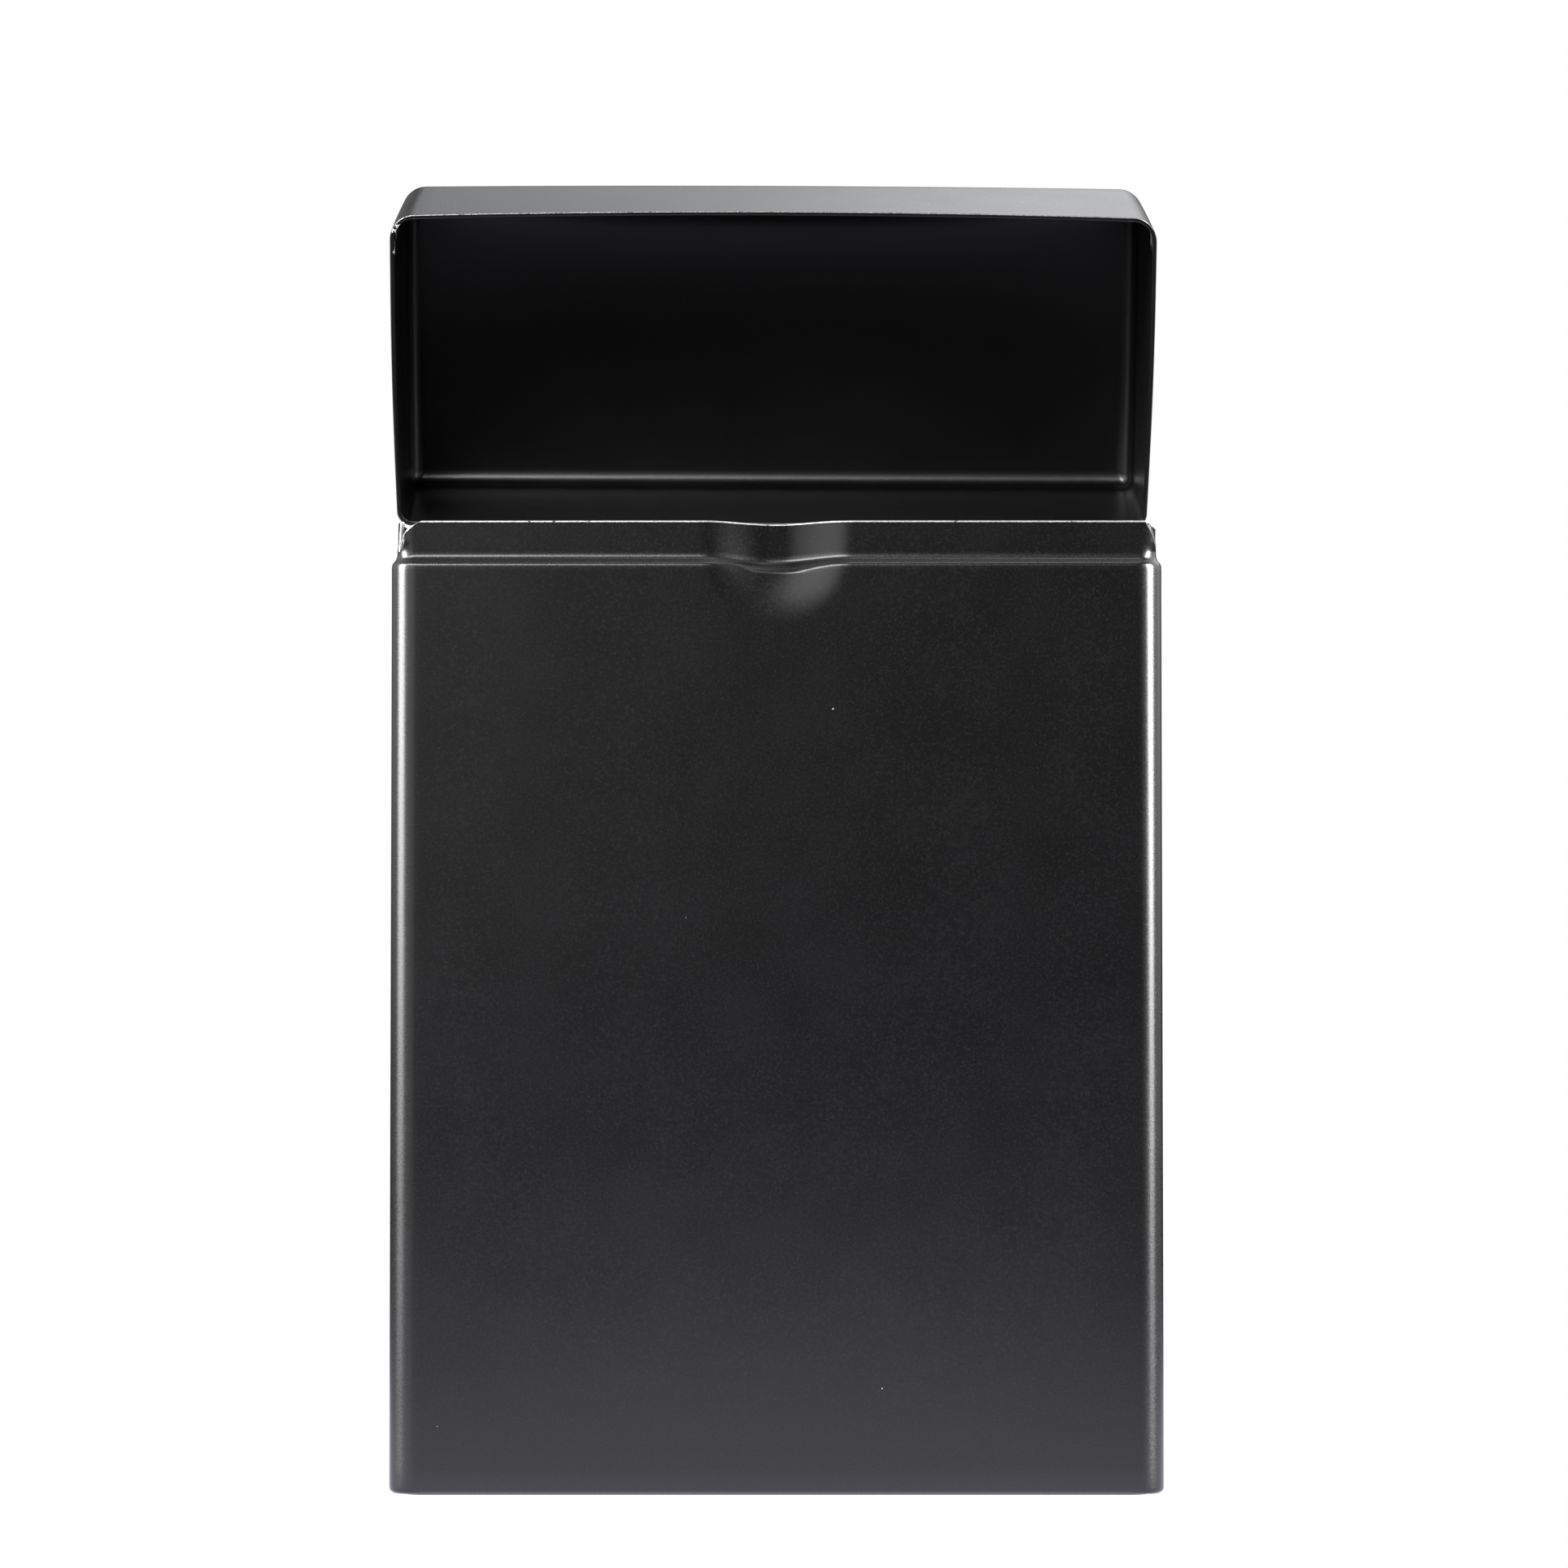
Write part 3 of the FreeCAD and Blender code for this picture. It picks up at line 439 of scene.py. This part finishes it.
def add_lid_top(bm):
    """A domed plate spanned between the four edges of the top."""
    across, deep = 44, 22

    def edge_point(q):
        return lid_point(q, 1.0, LID_EDGE, LID_TOP)

    front = [edge_point(q) for q in spread(-FRONT_HALF, FRONT_HALF, across)]
    half_back = spread(0, 1, across // 2)
    back = [edge_point(-(Q_BACK + FRONT_HALF * t)) for t in half_back]
    back += [edge_point(Q_BACK + FRONT_HALF * t) for t in half_back[-2::-1]]
    left, right = [[edge_point(sign * (Q_SIDE + 2 * SIDE_HALF * t)) for t in spread(0, 1, deep)]
                   for sign in (-1, 1)]

    def plate_point(i, j):
        if j == 0:
            return front[i]
        if j == deep:
            return back[i]
        if i == 0:
            return left[j]
        if i == across:
            return right[j]
        u, v = i / across, j / deep
        corners = ((front[0] * (1 - u) + front[-1] * u) * (1 - v)
                   + (back[0] * (1 - u) + back[-1] * u) * v)
        point = (front[i] * (1 - v) + back[i] * v) + (left[j] * (1 - u) + right[j] * u) - corners
        dome = math.sin(math.pi * u) ** 0.75 * math.sin(math.pi * v ** 0.6)
        point.z = LID_TOP + 0.75 * dome
        return point

    row = None
    for j in range(deep + 1):
        row = add_row(bm, row, [plate_point(i, j) for i in range(across + 1)])


def build_lid():
    bm = bmesh.new()
    add_lid_walls(bm)
    add_lid_top(bm)
    bmesh.ops.remove_doubles(bm, verts=bm.verts[:], dist=2e-4)
    return bm


# ------------------------------------------------------------------ shader helpers
def feed(tree, socket, value):
    """Links a socket to the input, or sets its plain value."""
    if isinstance(value, bpy.types.NodeSocket):
        tree.links.new(value, socket)
    elif socket.type == "RGBA":
        socket.default_value = (*value, 1)
    else:
        socket.default_value = value


def add_node(tree, kind, inputs=None, **settings):
    node = tree.nodes.new("ShaderNode" + kind)
    for key, value in settings.items():
        setattr(node, key, value)
    for key, value in (inputs or {}).items():
        feed(tree, node.inputs[key], value)
    return node


def calc(tree, operation, *values):
    return add_node(tree, "Math", dict(enumerate(values)), operation=operation).outputs[0]


def noise(tree, coords, scale, detail, rough):
    inputs = {"Scale": scale, "Detail": detail, "Roughness": rough, "Vector": coords}
    return add_node(tree, "TexNoise", inputs).outputs["Fac"]


def ramp(tree, factor, low, high):
    """low and high are (position, colour)."""
    node = add_node(tree, "ValToRGB", {"Fac": factor})
    for element, (position, colour) in zip(node.color_ramp.elements, (low, high)):
        element.position = position
        element.color = (*colour, 1)
    return node.outputs["Color"]


def mix_value(tree, factor, low, high):
    inputs = {0: factor, 2: low, 3: high}
    return add_node(tree, "Mix", inputs, data_type="FLOAT").outputs[0]


def mix_colour(tree, factor, low, high, blend="MIX"):
    inputs = {0: factor, 6: low, 7: high}
    return add_node(tree, "Mix", inputs, data_type="RGBA", blend_type=blend).outputs[2]


def map_range(tree, value, span, to, interpolation="SMOOTHSTEP"):
    inputs = {"Value": value, "From Min": span[0], "From Max": span[1],
              "To Min": to[0], "To Max": to[1]}
    node = add_node(tree, "MapRange", inputs, interpolation_type=interpolation)
    return node.outputs["Result"]


def glow(tree, kind, colour, strength):
    """An Emission or Background shader."""
    return add_node(tree, kind, {"Color": colour, "Strength": strength}).outputs[0]


def output_by_ray(tree, output_kind, to_camera, to_others):
    """Shows one shader to the camera and another to every other ray."""
    is_camera = add_node(tree, "LightPath").outputs["Is Camera Ray"]
    mixer = add_node(tree, "MixShader", {0: is_camera, 1: to_others, 2: to_camera})
    add_node(tree, output_kind, {"Surface": mixer.outputs[0]})


def principled(name):
    """A new material, with its tree, its shader's inputs and object coordinates."""
    material = bpy.data.materials.new(name)
    material.use_nodes = True
    tree = material.node_tree
    coords = add_node(tree, "TexCoord").outputs["Object"]
    return material, tree, tree.nodes["Principled BSDF"].inputs, coords


# ------------------------------------------------------------------ materials
def dust_specks(tree, coords, share):
    """1 inside small round specks, found in the given share of the cells."""
    cells = add_node(tree, "TexVoronoi", {"Scale": 260.0, "Vector": coords})
    chance = add_node(tree, "SeparateColor", {0: cells.outputs["Color"]})
    size = calc(tree, "MULTIPLY_ADD", chance.outputs[1], 0.011, 0.006)
    near = calc(tree, "LESS_THAN", cells.outputs["Distance"], size)
    chosen = calc(tree, "LESS_THAN", chance.outputs[0], share)
    return calc(tree, "MULTIPLY", near, chosen)


def paint(name, base=(0.0003, 0.0003, 0.0004), rough=0.27, grain=1.0, dust=0.35, painted_glint=False,
          shine=0.62):
    """Satin black paint: fine orange-peel grain, faint mottling, a few specks."""
    material, tree, shader, coords = principled(name)
    fine = noise(tree, coords, scale=5200.0, detail=3.0, rough=0.55)
    broad = noise(tree, coords, scale=160.0, detail=3.0, rough=0.5)
    tone = ramp(tree, broad, low=(0.3, tuple(c * 0.85 for c in base)),
                high=(0.7, tuple(c * 1.2 for c in base)))
    speckle = ramp(tree, fine, low=(0.54, (0.0, 0.0, 0.0)), high=(0.76, (0.0045, 0.0045, 0.0052)))
    colour = mix_colour(tree, 0.55 * grain, tone, speckle, blend="ADD")
    # both noises vary the roughness about its middle value
    roughness = calc(tree, "ADD", calc(tree, "MULTIPLY", fine, 0.10), rough - 0.05)
    roughness = calc(tree, "ADD", calc(tree, "MULTIPLY", broad, 0.05),
                     calc(tree, "SUBTRACT", roughness, 0.025))
    speck = dust_specks(tree, coords, share=dust)
    colour = mix_colour(tree, speck, colour, (0.42, 0.42, 0.42))
    roughness = mix_value(tree, speck, roughness, 0.7)
    if painted_glint:
        # painted highlight: light grey chips where the attribute is high, standing in for glints
        # of light near the lid's front corners
        amount = add_node(tree, "Attribute", attribute_name="painted_glint").outputs["Fac"]
        glint_breakup = noise(tree, coords, scale=1900.0, detail=4.0, rough=0.6)
        glint_patch = calc(tree, "GREATER_THAN", calc(tree, "ADD", amount, glint_breakup), 0.84)
        colour = mix_colour(tree, glint_patch, colour, (0.42, 0.42, 0.43))
        roughness = mix_value(tree, glint_patch, roughness, 0.55)
    bump = add_node(tree, "Bump", {"Strength": 0.05 * grain, "Distance": 0.000018,
                                   "Height": fine})
    feed(tree, shader["Base Color"], colour)
    feed(tree, shader["Roughness"], roughness)
    feed(tree, shader["Specular IOR Level"], shine)
    feed(tree, shader["Normal"], bump.outputs["Normal"])
    return material


def edge_metal(name, cover=0.35, bright=1.0):
    """The sheared edge of the sheet: paint rubbed away along most of it. A bright below 1 darkens
    the metal as painted shade.
    """
    material, tree, shader, coords = principled(name)
    patches = noise(tree, coords, scale=900.0, detail=3.0, rough=0.6)
    fine = noise(tree, coords, scale=5200.0, detail=2.0, rough=0.5)
    painted = calc(tree, "LESS_THAN", patches, cover)
    metal = ramp(tree, fine, low=(0.35, (0.34 * bright, 0.34 * bright, 0.35 * bright)),
                 high=(0.65, (0.52 * bright, 0.52 * bright, 0.53 * bright)))
    feed(tree, shader["Base Color"], mix_colour(tree, painted, metal, (0.02, 0.02, 0.022)))
    feed(tree, shader["Metallic"], calc(tree, "SUBTRACT", 1.0, painted))
    feed(tree, shader["Roughness"], mix_value(tree, painted, 0.38, 0.4))
    return material


def steel(name):
    """Drawn steel, streaked along x."""
    material, tree, shader, coords = principled(name)
    stretched = add_node(tree, "Mapping", {"Scale": (0.08, 1.0, 1.0), "Vector": coords})
    streaks = noise(tree, stretched.outputs["Vector"], scale=6000.0, detail=3.0, rough=0.6)
    colour = ramp(tree, streaks, low=(0.3, (0.30, 0.30, 0.31)), high=(0.7, (0.52, 0.52, 0.53)))
    feed(tree, shader["Base Color"], colour)
    feed(tree, shader["Metallic"], 1.0)
    feed(tree, shader["Roughness"], calc(tree, "MULTIPLY_ADD", streaks, 0.2, 0.25))
    return material


outside_paint = paint("satin_black_outside")
# the inside paint carries the painted glints: light grey patches standing in for highlights near
# the lid's front corners
inside_paint = paint("satin_black_inside", base=(0.0001, 0.0001, 0.0002), rough=0.31,
                     grain=0.35, dust=0.6, painted_glint=True, shine=0.5)
case_edge = edge_metal("rubbed_edge")
# painted shade: the lid's edge metal is a darker copy, a third as bright as the case's, dimming
# the hairline highlight of its free edge
shaded_lid_edge = edge_metal("rubbed_lid_edge_with_painted_shade", cover=0.40, bright=0.35)
hinge_paint = paint("satin_black_hinge", base=(0.006, 0.006, 0.0068), rough=0.38, dust=0.2)
rivet_paint = paint("satin_black_rivets", base=(0.008, 0.008, 0.009), rough=0.34, dust=0.2)
pin_steel = steel("drawn_steel")

INSIDE_SLOT, EDGE_SLOT = 1, 2               # the outside paint is slot 0


# ------------------------------------------------------------------ sheet pieces
def apply_modifiers(ob):
    depsgraph = bpy.context.evaluated_depsgraph_get()
    mesh = bpy.data.meshes.new_from_object(ob.evaluated_get(depsgraph), depsgraph=depsgraph)
    mesh.name = ob.name + "_mesh"
    ob.modifiers.clear()
    ob.data = mesh


def edit_mesh(mesh, change):
    bm = bmesh.new()
    bm.from_mesh(mesh)
    change(bm)
    bm.to_mesh(mesh)
    bm.free()


def thicken(ob):
    """Thickens an outer skin inwards by the gauge."""
    solidify = ob.modifiers.new("gauge", "SOLIDIFY")
    solidify.thickness = GAUGE * MM
    solidify.offset = -1.0
    solidify.use_even_offset = True
    solidify.use_quality_normals = True
    solidify.material_offset = INSIDE_SLOT
    solidify.material_offset_rim = EDGE_SLOT
    apply_modifiers(ob)


def round_edges(ob, width, above):
    """Rounds the sheared edges that lie wholly above a height in metres."""
    def mark(bm):
        weight = bm.edges.layers.float.new("bevel_weight_edge")
        for edge in bm.edges:
            if len(edge.link_faces) == 2 and min(v.co.z for v in edge.verts) > above:
                if edge.calc_face_angle() > math.radians(55):
                    edge[weight] = 1.0

    def tidy(bm):
        bmesh.ops.dissolve_degenerate(bm, dist=2e-6, edges=bm.edges[:])

    edit_mesh(ob.data, mark)
    bevel = ob.modifiers.new("edge_round", "BEVEL")
    bevel.width = width * MM
    bevel.segments = 2
    bevel.limit_method = "WEIGHT"
    bevel.material = EDGE_SLOT
    bevel.use_clamp_overlap = False
    apply_modifiers(ob)
    edit_mesh(ob.data, tidy)


def set_painted_glints(ob, spots=()):
    """Writes the attribute for the painted glints, painted highlights standing in for glints of
    light, from spots of (place, radius, strength), in metres.
    """
    values = []
    for vertex in ob.data.vertices:
        painted_glint = 0.0
        for place, radius, strength in spots:
            distance = (vertex.co - place).length / radius
            painted_glint = max(painted_glint, strength * math.exp(-distance * distance))
        values.append(painted_glint)
    ob.data.attributes.new("painted_glint", "FLOAT", "POINT").data.foreach_set("value", values)


def sheet_piece(bm, name, edge_material, bevel_width, bevel_above):
    """Makes a smooth-shaded sheet of metal from an outer skin in metres."""
    bmesh.ops.recalc_face_normals(bm, faces=bm.faces[:])
    mesh = bpy.data.meshes.new(name)
    bm.to_mesh(mesh)
    bm.free()
    ob = bpy.data.objects.new(name, mesh)
    bpy.context.scene.collection.objects.link(ob)
    for material in (outside_paint, inside_paint, edge_material):
        mesh.materials.append(material)
    thicken(ob)
    round_edges(ob, bevel_width, bevel_above)
    for polygon in ob.data.polygons:
        polygon.use_smooth = True
    return ob


def make_case_walls():
    bm = build_body()
    bm.transform(Matrix.Scale(MM, 4))
    # only the edges of the neck are rounded
    ob = sheet_piece(bm, "case_walls", case_edge, bevel_width=0.12, bevel_above=73.55 * MM)
    set_painted_glints(ob)
    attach(ob, "case")
    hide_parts("body_shell")
    return ob


def paint_lid_edge(mesh):
    """Leaves only the outer corner of the lid's free edge rubbed bright."""
    down = LID_TURN.to_3x3() @ Vector((0, 0, -1))
    centre = lid_place(0, 0, RIM_Z)
    for polygon in mesh.polygons:
        if polygon.material_index != EDGE_SLOT:
            continue
        away = polygon.center - centre
        away -= down * away.dot(down)
        if polygon.normal.dot(down) > 0.93 or polygon.normal.dot(away) < 0:
            polygon.material_index = INSIDE_SLOT


def lid_painted_glint_spots():
    """Spots of painted highlight near the front of both sides, just above the free edge of the
    closed lid, where light grey patches stand in for glints of light.
    """
    spots = []
    for sign, height in ((-1, 5.0), (1, 2.6)):
        # (y from the front, z from the rim, radius, strength)
        for y, z, radius, strength in ((0.9, 0.6, 0.75, 0.66), (1.7, 0.55 * height, 0.9, 0.58),
                                       (2.5, 0.5, 0.7, 0.62)):
            place = lid_place(sign * (HALF_WIDTH + 0.3), -HALF_DEPTH + y, RIM_Z + z)
            spots.append((place, radius * MM, strength))
    return spots


def make_lid_pressing():
    bm = build_lid()
    bm.transform(Matrix.Scale(MM, 4))
    bm.transform(LID_PLAY @ LID_TURN)
    # every sheared edge is rounded
    ob = sheet_piece(bm, "lid_pressing", shaded_lid_edge, bevel_width=0.06, bevel_above=-1.0)
    paint_lid_edge(ob.data)
    # painted highlight: light grey patches near the front corners stand in for glints of light
    set_painted_glints(ob, lid_painted_glint_spots())
    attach(ob, "lid")
    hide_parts("lid_shell")
    return ob


case_walls = make_case_walls()
lid_pressing = make_lid_pressing()


# ------------------------------------------------------------------ CAD pieces
def dress(ob, material, bevel_width):
    ob.data.materials.clear()
    ob.data.materials.append(material)
    ob.modifiers.new("join", "WELD").merge_threshold = 1e-6
    for polygon in ob.data.polygons:
        polygon.use_smooth = True
    if bevel_width:
        bevel = ob.modifiers.new("soft_edges", "BEVEL")
        bevel.width = bevel_width * MM
        bevel.segments = 2
        bevel.limit_method = "ANGLE"
        bevel.angle_limit = math.radians(50)
        ob.modifiers.new("even_normals", "WEIGHTED_NORMAL").keep_sharp = False
    else:
        # flat sheet with holes: crisp edges, smooth knuckles
        ob.modifiers.new("crisp_edges", "EDGE_SPLIT").split_angle = math.radians(30)


# (node, material, bevel width in mm)
CAD_PIECES = [
    ("base_pan", outside_paint, 0),
    ("body_hinge_leaf", hinge_paint, 0),
    ("lid_hinge_leaf", hinge_paint, 0),
    ("hinge_pin", pin_steel, 0.08),
    ("body_leaf_rivets", rivet_paint, 0.05),
    ("lid_leaf_rivets", rivet_paint, 0.05),
]
for node_name, piece_material, piece_bevel in CAD_PIECES:
    dress(frame["nodes"][node_name], piece_material, piece_bevel)


# ------------------------------------------------------------------ floor and room
WHITE = (1, 1, 1)


def make_floor():
    """Plain white to the camera; in reflections bright near the case only."""
    bpy.ops.mesh.primitive_plane_add(size=6.0, location=(0, 0, -0.00003))
    floor = bpy.context.object
    floor.name = "floor"
    material = bpy.data.materials.new("pale_floor")
    material.use_nodes = True
    tree = material.node_tree
    tree.nodes.clear()
    position = add_node(tree, "NewGeometry").outputs["Position"]
    distance = add_node(tree, "VectorMath", {0: position}, operation="LENGTH").outputs["Value"]
    # 1.4 close by, half of that at 0.14 m, and a faint 0.008 far away
    falloff = calc(tree, "POWER", calc(tree, "DIVIDE", distance, 0.14), 6.0)
    level = calc(tree, "DIVIDE", 1.4, calc(tree, "ADD", falloff, 1.0))
    level = calc(tree, "ADD", level, 0.008)
    output_by_ray(tree, "OutputMaterial", to_camera=glow(tree, "Emission", WHITE, 1.0),
                  to_others=glow(tree, "Emission", (0.985, 0.955, 1.12), level))
    floor.data.materials.append(material)


def make_room():
    """Plain white to the camera; other rays see pale and dark parts by direction."""
    world = bpy.data.worlds.new("studio")
    bpy.context.scene.world = world
    world.use_nodes = True
    tree = world.node_tree
    tree.nodes.clear()
    direction = add_node(tree, "TexCoord").outputs["Generated"]
    x, y, z = add_node(tree, "SeparateXYZ", {0: direction}).outputs

    # behind the case: a bright panel above the horizon
    panel = calc(tree, "MULTIPLY", map_range(tree, y, span=(0.30, 0.70), to=(0.0, 0.84)),
                 map_range(tree, z, span=(0.20, 0.36), to=(0.0, 1.0)))
    panel = calc(tree, "MULTIPLY", panel, map_range(tree, x, span=(-0.13, 0.01), to=(0.0, 1.0)))
    # pale to either side, fading again straight behind
    beside = calc(tree, "MULTIPLY", map_range(tree, y, span=(-0.20, 0.30), to=(0.0, 1.10)),
                  map_range(tree, y, span=(0.50, 0.88), to=(1.0, 0.03)))
    behind = calc(tree, "ADD", panel, beside)
    # the right half is brighter than the left
    right_gain = map_range(tree, x, span=(0.0, 0.032), to=(0.98, 2.0), interpolation="LINEAR")

    # in front of the case: pale at the left and right, dark between, dimmer higher up
    ahead = calc(tree, "ADD", map_range(tree, x, span=(-0.32, 0.0), to=(2.1, 0.003)),
                 map_range(tree, x, span=(0.22, 0.60), to=(0.0, 0.60)))
    for fade in (map_range(tree, z, span=(0.30, 0.75), to=(1.0, 0.25)),
                 map_range(tree, y, span=(-0.25, 0.30), to=(1.0, 0.15))):
        ahead = calc(tree, "MULTIPLY", ahead, fade)

    strength = calc(tree, "ADD", calc(tree, "MULTIPLY", behind, right_gain), ahead)
    output_by_ray(tree, "OutputWorld", to_camera=glow(tree, "Background", WHITE, 1.0),
                  to_others=glow(tree, "Background", (0.97, 0.98, 1.0), strength))


make_floor()
make_room()


# ------------------------------------------------------------------ lights
def receivers(name, objects):
    """A collection for lights that shine on these objects only."""
    collection = bpy.data.collections.new(name)
    for ob in objects:
        collection.objects.link(ob)
    return collection


case_only = receivers("lit_from_the_sides",
                      [case_walls] + [frame["nodes"][piece[0]] for piece in CAD_PIECES])
lid_only = receivers("lit_from_above", [lid_pressing])

# (name, centre, height aimed at, size, power, receivers or None for all), in m and W
SOFTBOXES = [
    ("left_strip", (-0.44, -0.14, 0.22), 0.08, (0.26, 0.36), 7.4, case_only),
    ("right_strip", (0.415, -0.19, 0.22), 0.08, (0.20, 0.36), 11.0, case_only),
    ("left_high", (-0.185, -0.335, 0.415), 0.08, (0.34, 0.09), 2.0, None),
    ("lid_high", (-0.17, -0.33, 0.41), 0.08, (0.20, 0.30), 3.6, lid_only),
    ("left_side_high", (-0.33, -0.14, 0.43), 0.08, (0.12, 0.12), 3.2, lid_only),
    ("right_side_high", (0.32, -0.13, 0.43), 0.08, (0.12, 0.12), 3.2, lid_only),
    ("left_fill", (-0.415, -0.20, 0.22), 0.08, (0.24, 0.36), 0.5, None),
    ("right_fill", (0.43, -0.15, 0.22), 0.08, (0.11, 0.36), 0.6, None),
    ("overhead", (0.05, -0.13, 0.52), 0.07, (0.16, 0.05), 0.16, None),
]


def softbox(name, centre, aim_z, size, power, lit):
    light = bpy.data.lights.new(name, "AREA")
    light.shape = "RECTANGLE"
    light.size, light.size_y = size
    light.energy = power
    ob = bpy.data.objects.new(name, light)
    bpy.context.scene.collection.objects.link(ob)
    ob.location = centre
    ob.rotation_mode = "QUATERNION"
    aim = Vector((0, 0, aim_z)) - Vector(centre)
    ob.rotation_quaternion = aim.to_track_quat("-Z", "Y")
    ob.visible_camera = False
    if lit:
        ob.light_linking.receiver_collection = lit


for box in SOFTBOXES:
    softbox(*box)

# ------------------------------------------------------------------ camera, metres
# The camera looks level along +Y; shifts bring the view's centre to its place.
CAMERA_DISTANCE = 0.700                     # from the front face
CAMERA_X, CAMERA_Z = -0.004, 0.058
VIEW_WIDTH = 0.12190813                     # at the front face
VIEW_CENTRE_X, VIEW_CENTRE_Z = 0.000567895, 0.05535083

camera_data = bpy.data.cameras.new("camera")
camera = bpy.data.objects.new("camera", camera_data)
bpy.context.scene.collection.objects.link(camera)
camera_data.sensor_fit = "HORIZONTAL"
camera_data.sensor_width = 36.0
camera_data.lens = 36.0 * CAMERA_DISTANCE / VIEW_WIDTH
camera_data.clip_start = 0.01
camera_data.clip_end = 20.0
camera_data.shift_x = (VIEW_CENTRE_X - CAMERA_X) / VIEW_WIDTH
camera_data.shift_y = (VIEW_CENTRE_Z - CAMERA_Z) / VIEW_WIDTH
camera.location = (CAMERA_X, shell_lo.y - CAMERA_DISTANCE, CAMERA_Z)
camera.rotation_euler = (math.radians(90), 0, 0)

scene = bpy.context.scene
scene.camera = camera
scene.view_settings.view_transform = "Standard"
scene.view_settings.look = "None"
